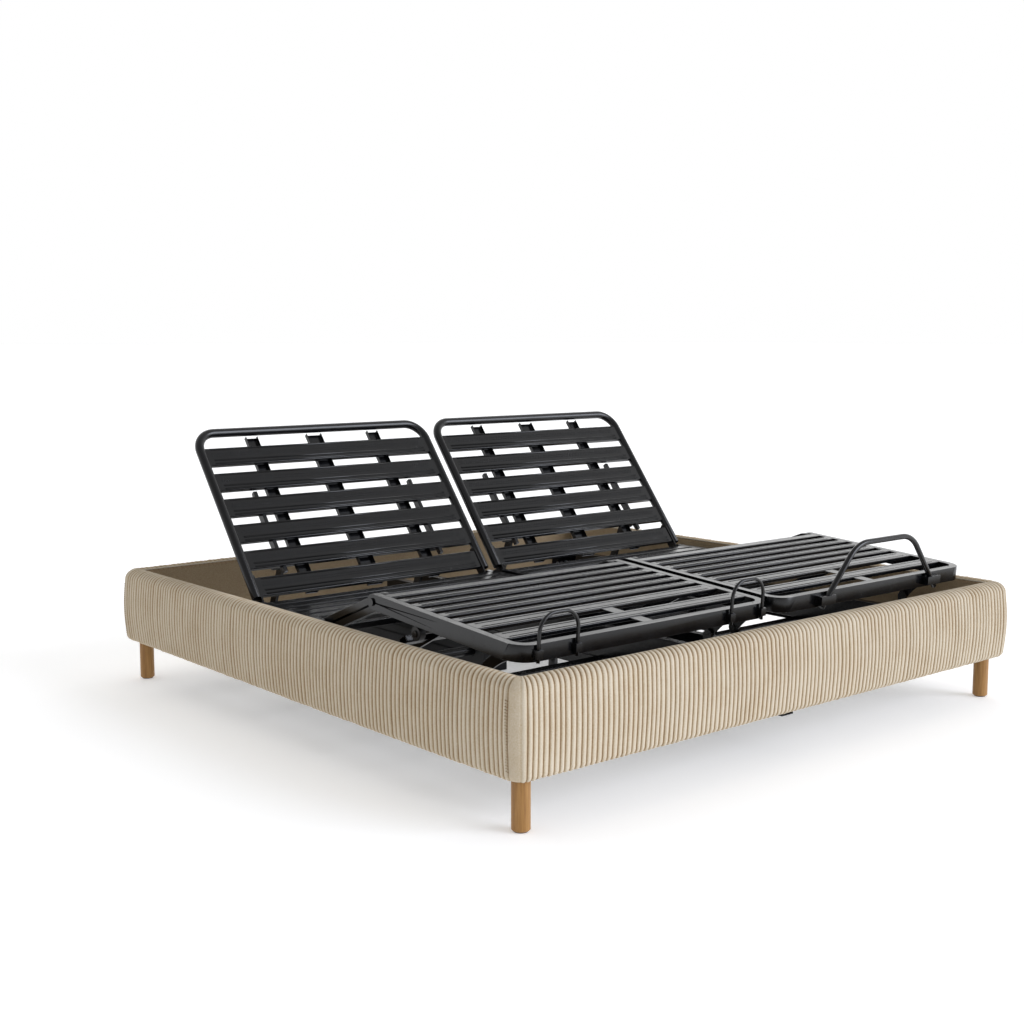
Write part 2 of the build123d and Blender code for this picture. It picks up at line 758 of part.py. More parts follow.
def link_stands():
    """Upright plates on the base rails that carry the calf links' lower pins."""
    y, z = link_pivot
    inner = base_rail_outer - lap_gap
    plate_x = (inner - link_thickness - 2 * lap_gap, inner - 2 * lap_gap)
    half = link_width / 2
    shape = Pos(y, (z + base_rail_top) / 2) * Rectangle(2 * half, z - base_rail_top)
    shape = shape + Pos(y, z) * Circle(half * 0.75)
    shape = shape - Pos(y, z) * Circle(pin_radius)
    plates = mirrored([along_x(shape, *plate_x)])
    pin = rod_x(y, z, pin_radius, plate_x[0], inner + link_thickness + lap_gap)
    head = rod_x(y, z, pin_head_radius, inner + link_thickness + lap_gap, inner + link_thickness + 3 * lap_gap)
    return plates, mirrored([pin + head])


def lift_arm(tube_y, end, thickness_range):
    """A flat arm from the torque tube to the roller axle."""
    start = (tube_y, tube_height)
    length = math.hypot(end[0] - start[0], end[1] - start[1])
    angle = math.degrees(math.atan2(end[1] - start[1], end[0] - start[0]))
    bar = Pos(*start) * Rot(0, 0, angle) * Pos(length / 2, 0) * SlotCenterToCenter(length, arm_width)
    bar = bar + Pos(*start) * Circle(arm_eye_radius)
    bar = bar - Pos(*start) * Circle(torque_tube_radius)
    bar = bar - Pos(*end) * Circle(axle_radius)
    return along_x(bar, *thickness_range)


def lever(tube_y, angle):
    """The short crank inside the drive housing."""
    start = (tube_y, tube_height)
    shape = Pos(*start) * Rot(0, 0, angle) * Pos(lever_length / 2, 0)
    shape = shape * SlotCenterToCenter(lever_length, 2 * lever_half_width)
    shape = shape + Pos(*start) * Circle(arm_eye_radius)
    shape = shape - Pos(*start) * Circle(torque_tube_radius)
    return along_x(shape, -lever_thickness / 2, lever_thickness / 2)


def torque_tube(tube_y):
    """The tube that joins a pair of lifting arms to their crank."""
    reach = base_rail_outer + ear_thickness
    return tube_x(tube_y, tube_height, torque_tube_radius, torque_tube_wall, -reach, reach)


def roller(end, x_range):
    """A wheel with a rounded tread and a running bore."""
    wheel = rod_x(*end, roller_radius, *x_range)
    wheel = fillet(wheel.edges().filter_by(GeomType.CIRCLE), roller_radius / 10)
    return wheel - rod_x(*end, axle_radius + roller_bore_clearance, *x_range)


def back_lift():
    """Torque tube, arms, crank, axles and rollers that raise the back."""
    end = arm_end((back_tube_y, tube_height), back_arm_length, back_arm_rest_angle())
    arm_x = (back_roller_inner - lap_gap - arm_thickness, back_roller_inner - lap_gap)
    arms = mirrored([lift_arm(back_tube_y, end, arm_x)])
    crank = lever(back_tube_y, -90 + back_arm_ratio * (back_rest_angle - back_top_angle / 2))
    lift = [torque_tube(back_tube_y)] + arms + [crank]
    wheel_x = (back_roller_inner, back_roller_inner + back_roller_width)
    axle = rod_x(*end, axle_radius, arm_x[0] - lap_gap, wheel_x[1] + lap_gap)
    axle = axle + rod_x(*end, 1.6 * axle_radius, wheel_x[1] + lap_gap, wheel_x[1] + 4 * lap_gap)
    return lift, mirrored([axle]), mirrored([roller(end, wheel_x)])


def leg_arm_rest():
    """The leg arm's angle and roller centre at rest, and the calf's slope there."""
    slope = 180 - thigh_rest_angle + calf_rest_fold
    under = calf_point(knee)
    drop = -(bar_depth / 2 + roller_radius + roller_gap)
    angle = arm_angle((leg_tube_y, tube_height), leg_arm_length, under, slope, drop, False)
    return angle, arm_end((leg_tube_y, tube_height), leg_arm_length, angle)


def leg_lift():
    """Torque tube, arms, crank, cross bar, axles and rollers that raise the legs."""
    angle, end = leg_arm_rest()
    arm_x = (inner_edge - 4 * arm_thickness, inner_edge - 3 * arm_thickness)
    arms = mirrored([lift_arm(leg_tube_y, end, arm_x)])
    bar_back = arm_end((leg_tube_y, tube_height), leg_arm_length - arm_width - cross_bar_width, angle)
    bar_shape = Pos(*bar_back) * Rot(0, 0, angle) * Rectangle(cross_bar_width, cross_bar_depth)
    bar_bore = Pos(*bar_back) * Rot(0, 0, angle)
    bar_bore = bar_bore * Rectangle(cross_bar_width - 2 * slat_wall, cross_bar_depth - 2 * slat_wall)
    cross_bar = along_x(bar_shape - bar_bore, -arm_x[0], arm_x[0])
    ends = mirrored([along_x(bar_shape - bar_bore, arm_x[1], outer_web)])
    lift = [torque_tube(leg_tube_y)] + arms + [lever(leg_tube_y, -90), cross_bar] + ends
    wheel_x = (leg_roller_inner, leg_roller_inner + leg_roller_width)
    axle = rod_x(*end, axle_radius, arm_x[0] - lap_gap, wheel_x[1] + lap_gap)
    collar = rod_x(*end, 1.6 * axle_radius, wheel_x[0] - 4 * lap_gap, wheel_x[0] - lap_gap)
    cap = rod_x(*end, 1.6 * axle_radius, wheel_x[1] + lap_gap, wheel_x[1] + 3 * lap_gap)
    return lift, mirrored([axle + collar + cap]), mirrored([roller(end, wheel_x)])


def base_rails():
    """Deep side rails of one base frame, drilled for the torque tubes."""
    rail = hollow_block(
        (base_rail_inner, base_rail_outer),
        (-base_rail_half_length, base_rail_half_length),
        (cross_tube_top, base_rail_top),
        base_rail_wall,
        "y",
    )
    bearing = torque_tube_radius + torque_tube_clearance
    pair = mirrored([rail])
    for y in (back_tube_y, leg_tube_y):
        pair = drill(pair, y, tube_height, bearing)
    return pair


def cross_tubes(side):
    """Tubes from the side ledger to the centre beam, under one deck's rails."""
    pieces = []
    for y in cross_tube_places:
        outer = inner_half_width - deck_centre - ledger_wall - lap_gap
        inner = deck_centre - lap_gap
        x_range = (-outer, inner) if side < 0 else (-inner, outer)
        spread = (y - cross_tube_width / 2, y + cross_tube_width / 2)
        pieces.append(hollow_block(x_range, spread, (cross_tube_bottom, cross_tube_top), base_rail_wall, "x"))
    return pieces


def drive_unit():
    """Housing, cover, spindles, motors and push slides between the two torque tubes."""
    ends = (leg_tube_y - housing_end_margin, back_tube_y + housing_end_margin)
    sides = (-housing_half_width, housing_half_width)
    inner = (-housing_half_width + housing_wall, housing_half_width - housing_wall)
    inner_y = (ends[0] + housing_wall, ends[1] - housing_wall)
    housing = block(sides, ends, (housing_bottom, housing_top - housing_wall))
    housing = housing - block(inner, inner_y, (housing_bottom + housing_wall, housing_top))
    for y in (back_tube_y, leg_tube_y):
        housing = housing - rod_x(y, tube_height, torque_tube_radius + lap_gap, *sides)
    cover = block(sides, ends, (housing_top - housing_wall, housing_top))

    swing = math.radians(back_arm_ratio * (back_rest_angle - back_top_angle / 2))
    back_tip = back_tube_y + lever_length * math.sin(swing)
    back_front = back_tip - lever_half_width - slide_gap
    leg_front = leg_tube_y + lever_half_width + slide_gap
    low = housing_bottom + housing_wall + lap_gap
    high = low + slide_height
    slides = []
    spindles = []
    axis_z = (low + high) / 2
    for front, away in ((back_front, -1), (leg_front, 1)):
        tail = front + away * slide_length
        slide = block((-slide_half_width, slide_half_width), sorted((front, tail)), (low, high))
        bore_y = sorted((front + away * 2 * housing_wall, tail))
        bore = Pos(0, sum(bore_y) / 2, axis_z) * Rot(90, 0, 0)
        slides.append(slide - bore * Cylinder(spindle_radius + spindle_clearance, bore_y[1] - bore_y[0]))
        spindle_y = sorted((front + away * slide_length * 0.7, tail + away * slide_length * 0.3))
        place = Pos(0, sum(spindle_y) / 2, axis_z) * Rot(90, 0, 0)
        spindles.append(place * Cylinder(spindle_radius, spindle_y[1] - spindle_y[0]))

    motors = []
    middle = (ends[0] + ends[1]) / 2
    for away in (-1, 1):
        place = Pos(housing_half_width + motor_radius, middle + away * (motor_length / 2 + lap_gap), tube_height)
        can = place * Rot(90, 0, 0) * Cylinder(motor_radius, motor_length)
        motors.append(fillet(can.edges().filter_by(GeomType.CIRCLE), motor_radius / 6))
    return housing, cover, spindles, motors, slides


def control_box():
    """Control box on a cross tube, with a round socket for its power lead."""
    size = (150.0, 90.0, 38.0)
    place = (-housing_half_width - size[0], cross_tube_places[2], cross_tube_top + size[2] / 2)
    box = fillet(Box(*size).edges().filter_by(Axis.Z), size[2] / 6)
    socket_radius = 5.5
    socket = Pos(-size[0] / 2, 0, 0) * Rot(0, 90, 0) * Cylinder(socket_radius, 2 * size[2])
    return Pos(*place) * (box - socket)


# ------------------------------------------------------------------ writing the parts
def on_side(shapes, side):
    return [Pos(side * deck_centre, 0, 0) * shape for shape in shapes]


def deck_nodes(side, tag):
    """All pieces of one deck: its own nodes, and its share of the nodes both decks have."""
    back_frame, back_slats, back_spines = back_section()
    seat_frame, seat_slats = seat_section()
    thigh_frame, thigh_slats = thigh_section()
    calf_frame, calf_slats = calf_section()
    links, calf_pins = calf_links()
    stands, stand_pins = link_stands()
    back_lift_pieces, back_axles, back_rollers = back_lift()
    leg_lift_pieces, leg_axles, leg_rollers = leg_lift()
    housing, cover, spindles, motors, slides = drive_unit()
    seat_pins = pivot_pins(back_hinge_y, pivot_z, inner_web - 2 * ear_thickness, outer_web)
    seat_pins += pivot_pins(thigh_hinge_y, pivot_z, inner_web - 2 * ear_thickness, outer_web)
    knee_pins = pivot_pins(knee_y, pivot_z, inner_web - bar_wall, outer_web, head_gap=lap_gap)
    retainer = loop_retainers() if side < 0 else bar_retainer()

    own = {
        "back_frame": [raise_back(piece) for piece in back_frame],
        "back_slats": [raise_back(piece) for piece in back_slats],
        "back_spines": [raise_back(piece) for piece in back_spines],
        "thigh_frame": [raise_thigh(piece) for piece in thigh_frame],
        "thigh_slats": [raise_thigh(piece) for piece in thigh_slats],
        "knee_pins": [raise_thigh(piece) for piece in knee_pins],
        "calf_frame": [raise_calf(piece) for piece in calf_frame],
        "calf_slats": [raise_calf(piece) for piece in calf_slats],
        "calf_pins": calf_pins,
        "retainer": [raise_calf(piece) for piece in retainer],
        "calf_links": links,
        "back_lift_arms": back_lift_pieces,
        "back_lift_axles": back_axles,
        "back_rollers": back_rollers,
        "leg_lift_arms": leg_lift_pieces,
        "leg_lift_axles": leg_axles,
        "leg_rollers": leg_rollers,
        "back_push_slide": [slides[0]],
        "leg_push_slide": [slides[1]],
    }
    shared = {
        "base_frames": base_rails() + stands + cross_tubes(side),
        "seat_frames": seat_frame,
        "seat_slats": seat_slats,
        "hinge_pins": seat_pins + stand_pins,
        "drive_housings": [housing],
        "drive_covers": [cover],
        "drive_spindles": spindles,
        "drive_motors": motors,
        "control_boxes": [control_box()],
    }
    own = {name + "_" + tag: on_side(pieces, side) for name, pieces in own.items()}
    shared = {name: on_side(pieces, side) for name, pieces in shared.items()}
    return own, shared


def all_nodes():
    """Every node of the bed base, by name."""
    nodes = {}
    covers, boards = rails()
    for name, cover in covers.items():
        nodes[name] = [cover]
    legs, studs, glides = corner_legs()
    beam, centre_legs = centre_support()
    nodes["rail_boards"] = boards
    nodes["corner_brackets"] = corner_brackets()
    nodes["fasteners"] = bracket_bolts() + studs
    nodes["corner_legs"] = legs
    nodes["leg_glides"] = glides
    nodes["side_ledgers"] = side_ledgers()
    nodes["centre_beam"] = [beam]
    nodes["centre_legs"] = centre_legs
    for side, tag in ((-1, "left"), (1, "right")):
        own, shared = deck_nodes(side, tag)
        nodes.update(own)
        for name, pieces in shared.items():
            nodes[name] = nodes.get(name, []) + pieces
    return nodes


def solids_of(shapes):
    return [solid for shape in shapes for solid in shape.solids()]


os.makedirs("parts", exist_ok=True)
for node_name, shapes in all_nodes().items():
    export_step(Compound(solids_of(shapes)), "parts/" + node_name + ".step")
print("back arm at rest", round(back_arm_rest_angle(), 3), "leg arm at rest", [round(leg_arm_rest()[0], 3)])
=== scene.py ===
# %% [markdown]
# ## The bed base and its frame
# The object is a double adjustable bed base: a padded corduroy surround on round beech legs,
# with two black steel decks inside it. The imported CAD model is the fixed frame. Everything
# made here is in metres, in the same place as the CAD part that it stands for, so there is
# nothing to line up afterwards.

# %% Load the frame
import bmesh
import bpy
import json
import math
import numpy as np
from mathutils import Matrix, Vector

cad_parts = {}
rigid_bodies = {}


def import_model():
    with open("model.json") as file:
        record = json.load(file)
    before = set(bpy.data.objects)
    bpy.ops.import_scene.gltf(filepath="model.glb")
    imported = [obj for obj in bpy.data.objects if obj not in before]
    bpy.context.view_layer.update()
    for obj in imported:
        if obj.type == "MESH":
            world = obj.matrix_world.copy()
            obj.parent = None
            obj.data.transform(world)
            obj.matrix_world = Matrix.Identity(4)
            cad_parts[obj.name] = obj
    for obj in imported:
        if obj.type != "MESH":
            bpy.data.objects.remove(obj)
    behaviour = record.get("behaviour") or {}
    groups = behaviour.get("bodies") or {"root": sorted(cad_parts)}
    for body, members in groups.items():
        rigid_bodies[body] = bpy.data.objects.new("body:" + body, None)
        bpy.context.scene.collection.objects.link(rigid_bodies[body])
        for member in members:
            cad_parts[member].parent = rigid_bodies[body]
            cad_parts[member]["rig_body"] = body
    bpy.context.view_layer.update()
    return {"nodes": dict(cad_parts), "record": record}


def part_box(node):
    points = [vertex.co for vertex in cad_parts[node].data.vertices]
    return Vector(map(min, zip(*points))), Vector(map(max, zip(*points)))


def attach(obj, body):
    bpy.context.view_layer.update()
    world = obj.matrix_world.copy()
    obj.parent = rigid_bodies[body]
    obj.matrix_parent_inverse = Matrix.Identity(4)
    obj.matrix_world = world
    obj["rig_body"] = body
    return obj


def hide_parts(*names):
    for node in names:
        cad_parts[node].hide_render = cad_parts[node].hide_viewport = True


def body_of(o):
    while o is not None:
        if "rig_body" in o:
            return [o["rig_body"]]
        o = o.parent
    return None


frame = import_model()
record = frame["record"]
SIDES = {"left": -1, "right": 1}

# %% [markdown]
# ## Small helpers
# A colour is written the way a designer reads it, as an sRGB hex value, and one function
# turns it into the linear numbers that Blender mixes. One more function adds a shader or
# geometry node with its settings and links, which keeps each material down to a short list.

# %% Colour and node helpers
def linear(hex_colour):
    """An sRGB hex colour as linear RGBA."""
    channels = [int(hex_colour[i:i + 2], 16) / 255 for i in (1, 3, 5)]
    channels = [c / 12.92 if c <= 0.04045 else ((c + 0.055) / 1.055) ** 2.4 for c in channels]
    return (*channels, 1.0)


def add_node(tree, kind, settings=None, links=None, values=None):
    """Add a node, set its properties and socket values, and link its inputs."""
    node = tree.nodes.new(kind)
    for key, value in (settings or {}).items():
        setattr(node, key, value)
    for key, value in (values or {}).items():
        node.inputs[key].default_value = value
    for key, source in (links or {}).items():
        tree.links.new(source, node.inputs[key])
    return node


def new_material(name):
    """A material with only its output and a Principled shader, and its object coordinates."""
    material = bpy.data.materials.new(name)
    material.use_nodes = True
    tree = material.node_tree
    tree.nodes.clear()
    shader = add_node(tree, "ShaderNodeBsdfPrincipled")
    add_node(tree, "ShaderNodeOutputMaterial", links={"Surface": shader.outputs[0]})
    place = add_node(tree, "ShaderNodeTexCoord").outputs["Object"]
    return material, tree, shader, place


def ramp(tree, factor, stops):
    """A colour ramp with the given (position, hex colour) stops."""
    node = add_node(tree, "ShaderNodeValToRGB", links={"Fac": factor})
    elements = node.color_ramp.elements
    while len(elements) < len(stops):
        elements.new(0.5)
    for element, (position, colour) in zip(elements, stops):
        element.position = position
        element.color = linear(colour)
    return node.outputs["Color"]


def bump(tree, shader, height, distance, strength=1.0):
    """Feed a height into the shader's normal, with the real depth in metres."""
    node = add_node(tree, "ShaderNodeBump", links={"Height": height},
                    values={"Distance": distance, "Strength": strength})
    tree.links.new(node.outputs["Normal"], shader.inputs["Normal"])
    return node


def math_node(tree, operation, first, second):
    """A Math node whose inputs are sockets or numbers."""
    node = add_node(tree, "ShaderNodeMath", {"operation": operation})
    for index, value in enumerate((first, second)):
        if isinstance(value, (int, float)):
            node.inputs[index].default_value = value
        else:
            tree.links.new(value, node.inputs[index])
    return node.outputs[0]


print("helpers ready")

# %% [markdown]
# ## Camera
# The bed is seen from beyond its foot, to the left, from a little above a standing child's
# eye level. A long-ish lens keeps the corners upright. The camera is made first, so that
# every later step can be judged in the same view.

# %% Camera
CAMERA_PLACE = Vector((-3.13, -3.502, 1.185))
CAMERA_HEADING = math.radians(40.08)
CAMERA_DIP = math.radians(7.09)
SENSOR_MM = 36.0
FOCAL_SHARE = 1403.8 / 1024

camera_data = bpy.data.cameras.new("camera")
camera_data.sensor_width = SENSOR_MM
camera_data.lens = SENSOR_MM * FOCAL_SHARE
camera = bpy.data.objects.new("camera", camera_data)
camera.location = CAMERA_PLACE
camera.rotation_euler = (math.pi / 2 - CAMERA_DIP, 0, -CAMERA_HEADING)
bpy.context.scene.collection.objects.link(camera)
bpy.context.scene.camera = camera
print("lens", round(camera_data.lens, 2), "mm")

# %% [markdown]
# ## Studio
# A pale floor that runs out of sight gives the soft contact shadow of a catalogue picture.
# One wide key light comes from the right, beyond the foot, so the foot rail is the bright
# one and the left rail stays in half shade. The backdrop is white to the eye. As a light it
# is strong beyond the bed, weaker overhead and weak on the near side, so the tops of the
# steel slats shine and their near faces stay black. The floor glows faintly, like a lit
# product table, which keeps the shadow soft and pale.

# %% Floor, backdrop and key light
FLOOR_SIZE = 400.0
FLOOR_GLOW = 0.3
half_floor = FLOOR_SIZE / 2
floor_mesh = bpy.data.meshes.new("floor")
floor_corners = [(x * half_floor, y * half_floor, 0) for x, y in ((-1, -1), (1, -1), (1, 1), (-1, 1))]
floor_mesh.from_pydata(floor_corners, [], [(0, 1, 2, 3)])
floor = bpy.data.objects.new("floor", floor_mesh)
bpy.context.scene.collection.objects.link(floor)
floor_paint, floor_tree, floor_shader, floor_place = new_material("studio_floor_white_lino")
floor_cloud = add_node(floor_tree, "ShaderNodeTexNoise", links={"Vector": floor_place},
                       values={"Scale": 1.5, "Detail": 4.0})
floor_white = ramp(floor_tree, floor_cloud.outputs["Fac"], [(0.3, "#F8F8F8"), (0.7, "#FAFAFA")])
floor_tree.links.new(floor_white, floor_shader.inputs["Base Color"])
floor_shader.inputs["Roughness"].default_value = 0.85
floor_shader.inputs["Specular IOR Level"].default_value = 0.2
floor_shader.inputs["Emission Color"].default_value = linear("#FFFFFF")
floor_shader.inputs["Emission Strength"].default_value = FLOOR_GLOW
floor.data.materials.append(floor_paint)

BACKDROP_SEEN = 1.0
ROOM_LIGHT_NEAR = 0.45
ROOM_LIGHT_FAR = 1.6
CEILING_LIGHT = 0.55
KEY_STRENGTH = 2.3
KEY_SPREAD = 40
KEY_FROM = (0.50, -0.80, 0.30)
world = bpy.data.worlds.new("studio_world")
bpy.context.scene.world = world
world.use_nodes = True
room_tree = world.node_tree
room_tree.nodes.clear()
seen = add_node(room_tree, "ShaderNodeLightPath").outputs["Is Camera Ray"]
direction = add_node(room_tree, "ShaderNodeTexCoord").outputs["Generated"]
farness = add_node(room_tree, "ShaderNodeVectorMath", {"operation": "DOT_PRODUCT"}, links={0: direction},
                   values={1: (math.sin(CAMERA_HEADING), math.cos(CAMERA_HEADING), 0)}).outputs["Value"]
room = add_node(room_tree, "ShaderNodeMapRange", links={"Value": farness},
                values={"From Min": -1.0, "From Max": 1.0,
                        "To Min": ROOM_LIGHT_NEAR, "To Max": ROOM_LIGHT_FAR})
height = add_node(room_tree, "ShaderNodeSeparateXYZ", links={"Vector": direction}).outputs["Z"]
ceiling = add_node(room_tree, "ShaderNodeMapRange", links={"Value": height},
                   values={"To Min": 1.0, "To Max": CEILING_LIGHT})
lit = math_node(room_tree, "MULTIPLY", room.outputs["Result"], ceiling.outputs["Result"])
strength = add_node(room_tree, "ShaderNodeMapRange", links={"Value": seen, "To Min": lit},
                    values={"To Max": BACKDROP_SEEN})
background = add_node(room_tree, "ShaderNodeBackground", links={"Strength": strength.outputs["Result"]},
                      values={"Color": linear("#FFFFFF")})
add_node(room_tree, "ShaderNodeOutputWorld", links={"Surface": background.outputs[0]})

key_data = bpy.data.lights.new("key_light", "SUN")
key_data.energy = KEY_STRENGTH
key_data.angle = math.radians(KEY_SPREAD)
key_data.color = linear("#EEF3FF")[:3]
key_light = bpy.data.objects.new("key_light", key_data)
key_light.rotation_euler = Vector(KEY_FROM).to_track_quat("Z", "Y").to_euler()
bpy.context.scene.collection.objects.link(key_light)
bpy.context.scene.view_settings.view_transform = "Standard"
print("studio ready")

# %% [markdown]
# ## Corduroy
# Wide-wale corduroy: a cotton weave with raised velvet ribs. The rib tops catch the light
# and look ivory, and the valleys between them are painted a darker tan as painted shade. The
# ribs are real geometry here, because their shadow lines are what the eye reads. The shader
# tints by an attribute that the mesh carries, from 0 in a valley to 1 on a rib, which paints
# shade into the valleys and leaves the rib tops pale. A second attribute marks the plain
# lining cloth on the inside of the rails.

# %% Corduroy material
NAP_MM = 1.3
THREAD_MM = 3.0
NAP_CONTRAST = 0.7
BRUSH_CONTRAST = 0.5
THREAD_DEPTH = 0.6


def corduroy():
    """Cotton corduroy, brushed: soft sheen on the ribs, painted tan shade in the valleys."""
    material, tree, shader, place = new_material("cotton_corduroy_ivory")
    # The rib attribute is 0 in a valley and 1 on a rib top; through the ramp below it paints shade into the
    # valleys.
    rib = add_node(tree, "ShaderNodeAttribute", {"attribute_name": "rib"}).outputs["Fac"]
    plain = add_node(tree, "ShaderNodeAttribute", {"attribute_name": "plain"}).outputs["Fac"]
    nap = add_node(tree, "ShaderNodeTexNoise", links={"Vector": place},
                   values={"Scale": 500 / NAP_MM, "Detail": 2.0, "Roughness": 0.6}).outputs["Fac"]
    brushed = add_node(tree, "ShaderNodeTexNoise", links={"Vector": place},
                       values={"Scale": 9.0, "Detail": 5.0, "Roughness": 0.6}).outputs["Fac"]
    fuzz = math_node(tree, "MULTIPLY", math_node(tree, "SUBTRACT", nap, 0.5), NAP_CONTRAST)
    cloud = math_node(tree, "MULTIPLY", math_node(tree, "SUBTRACT", brushed, 0.5), BRUSH_CONTRAST)
    tone = math_node(tree, "ADD", math_node(tree, "ADD", rib, fuzz), cloud)
    # Painted shade: the dark tan stops fall in the valleys, the pale ivory stops on the rib tops.
    ribbed = ramp(tree, tone, [(0.0, "#775B3D"), (0.25, "#967C5C"), (0.6, "#B3A186"), (1.0, "#CABFAC")])
    weave = ramp(tree, nap, [(0.3, "#8E7A60"), (0.7, "#A69479")])
    colour = add_node(tree, "ShaderNodeMix", {"data_type": "RGBA"})
    tree.links.new(plain, colour.inputs["Factor"])
    tree.links.new(ribbed, colour.inputs[6])
    tree.links.new(weave, colour.inputs[7])
    tree.links.new(colour.outputs[2], shader.inputs["Base Color"])
    parts = add_node(tree, "ShaderNodeSeparateXYZ", links={"Vector": place})
    turns = math_node(tree, "MULTIPLY", parts.outputs["Z"], 2 * math.pi * 1000 / THREAD_MM)
    thread = math_node(tree, "SINE", turns, 0.0)
    valley = math_node(tree, "SUBTRACT", THREAD_DEPTH, math_node(tree, "MULTIPLY", rib, THREAD_DEPTH))
    ground = math_node(tree, "MULTIPLY", thread, valley)
    bump(tree, shader, math_node(tree, "ADD", nap, ground), 0.0009, 0.7)
    shader.inputs["Roughness"].default_value = 0.95
    shader.inputs["Sheen Weight"].default_value = 0.18
    shader.inputs["Sheen Roughness"].default_value = 0.4
    shader.inputs["Sheen Tint"].default_value = linear("#F2E8D6")
    shader.inputs["Specular IOR Level"].default_value = 0.15
    return material


corduroy_cloth = corduroy()
print("made", corduroy_cloth.name)

# %% [markdown]
# ## Woods
# The legs are turned beech with a satin lacquer: a warm even colour with fine darker flecks
# along the grain. The boards inside the rails are planed pine and hardly ever show.

# %% Beech and pine
def wood(name, pale, mid, dark, grain_mm, roughness, upright):
    """A plain-sawn wood whose grain runs along Z, or along Y for a lying board."""
    material, tree, shader, place = new_material(name)
    stretch = (1.0, 1.0, 0.06) if upright else (1.0, 0.06, 1.0)
    grain_place = add_node(tree, "ShaderNodeMapping", links={"Vector": place},
                           values={"Scale": stretch}).outputs[0]
    grain = add_node(tree, "ShaderNodeTexNoise", links={"Vector": grain_place},
                     values={"Scale": 1000 / grain_mm, "Detail": 6.0, "Roughness": 0.65}).outputs["Fac"]
    fleck = add_node(tree, "ShaderNodeTexVoronoi", links={"Vector": grain_place},
                     values={"Scale": 2400 / grain_mm}).outputs["Distance"]
    tone = math_node(tree, "ADD", grain, math_node(tree, "MULTIPLY", fleck, 0.12))
    colour = ramp(tree, tone, [(0.3, dark), (0.52, mid), (0.75, pale)])
    tree.links.new(colour, shader.inputs["Base Color"])
    bump(tree, shader, tone, 0.0003, 0.35)
    shader.inputs["Roughness"].default_value = roughness
    return material


beech = wood("turned_beech_satin_lacquer", "#AB7F45", "#966B32", "#754E22", 9.0, 0.45, True)
pine = wood("planed_pine", "#E2C593", "#CFA66B", "#A87E46", 14.0, 0.7, False)
print("made", beech.name, pine.name)

# %% [markdown]
# ## Coated steel and plastics
# The decks are welded steel with a black powder coat. The powder flows out as a faint orange
# peel, which breaks up reflections, and is a little paler where it has been rubbed. Drives
# are moulded ABS with a spark-eroded texture, rollers are nylon, and fixings are zinc plated.

# %% Powder coat, plastics and zinc
def coated(name, base, worn, roughness, peel_mm, peel_depth, gloss=0.5, metallic=0.0):
    """A coated or moulded surface: an even colour, a fine texture and slight rubbing."""
    material, tree, shader, place = new_material(name)
    peel = add_node(tree, "ShaderNodeTexNoise", links={"Vector": place},
                    values={"Scale": 1000 / peel_mm, "Detail": 2.0}).outputs["Fac"]
    rub = add_node(tree, "ShaderNodeTexNoise", links={"Vector": place},
                   values={"Scale": 14.0, "Detail": 6.0, "Roughness": 0.7}).outputs["Fac"]
    colour = ramp(tree, rub, [(0.35, base), (0.75, worn)])
    tree.links.new(colour, shader.inputs["Base Color"])
    spread = add_node(tree, "ShaderNodeMapRange", links={"Value": rub},
                      values={"From Min": 0.3, "From Max": 0.7,
                              "To Min": roughness - 0.05, "To Max": roughness + 0.07})
    tree.links.new(spread.outputs["Result"], shader.inputs["Roughness"])
    bump(tree, shader, peel, peel_depth, 0.5)
    shader.inputs["Metallic"].default_value = metallic
    shader.inputs["Specular IOR Level"].default_value = gloss
    return material


powder_coat = coated("black_powder_coated_steel", "#060608", "#0B0C0F", 0.21, 2.0, 0.0001, gloss=0.42)
abs_black = coated("moulded_abs_black", "#141517", "#1C1D20", 0.55, 1.6, 0.0002, gloss=0.4)
nylon_black = coated("moulded_nylon_black", "#0C0C0D", "#161617", 0.42, 3.0, 0.0001)
nylon_natural = coated("natural_nylon", "#D8D5C8", "#C8C4B4", 0.5, 3.0, 0.0001)
zinc = coated("zinc_plated_steel", "#B9BBBD", "#9FA2A6", 0.32, 2.5, 0.00005, metallic=1.0)
glide_plastic = coated("glide_plastic_grey", "#4A4744", "#5A5652", 0.7, 1.5, 0.0002)
print("made", [m.name for m in (powder_coat, abs_black, nylon_black, nylon_natural, zinc, glide_plastic)])

# %% Give the CAD nodes their materials
slot_paint = {
    "corduroy": corduroy_cloth,
    "pine": pine,
    "beech": beech,
    "felt_glide": glide_plastic,
    "black_steel": powder_coat,
    "zinc_steel": zinc,
    "wheel_nylon": nylon_black,
    "slide_nylon": nylon_natural,
    "drive_plastic": abs_black,
}
node_slot = {part["node"]: part["material_slot"] for part in record["subparts"]}
for node_name, node_object in frame["nodes"].items():
    node_object.data.materials.clear()
    node_object.data.materials.append(slot_paint[node_slot[node_name]])
print("painted", len(frame["nodes"]), "nodes")

# %% [markdown]
# ## Softened steel edges
# Bent and welded steel has no knife edges. The CAD meshes are loose triangles, so a Weld
# modifier joins them first, and a narrow Bevel then rounds every real corner while flat
# faces are left alone. The CAD mesh itself isn't touched.

# %% Weld and bevel the metal parts
EDGE_RADIUS = {"black_steel": 0.0012, "drive_plastic": 0.0025, "slide_nylon": 0.001}


def soften(node_object, radius):
    """Join the mesh's loose triangles and round its sharp edges."""
    weld = node_object.modifiers.new("join", "WELD")
    weld.merge_threshold = 0.00002
    bevel = node_object.modifiers.new("rounded_edges", "BEVEL")
    bevel.width = radius
    bevel.segments = 2
    bevel.limit_method = "ANGLE"
    bevel.angle_limit = math.radians(50)
    bevel.harden_normals = False


softened = 0
for node_name, node_object in frame["nodes"].items():
    radius = EDGE_RADIUS.get(node_slot[node_name])
    if radius:
        soften(node_object, radius)
        softened += 1
print("softened", softened, "nodes")

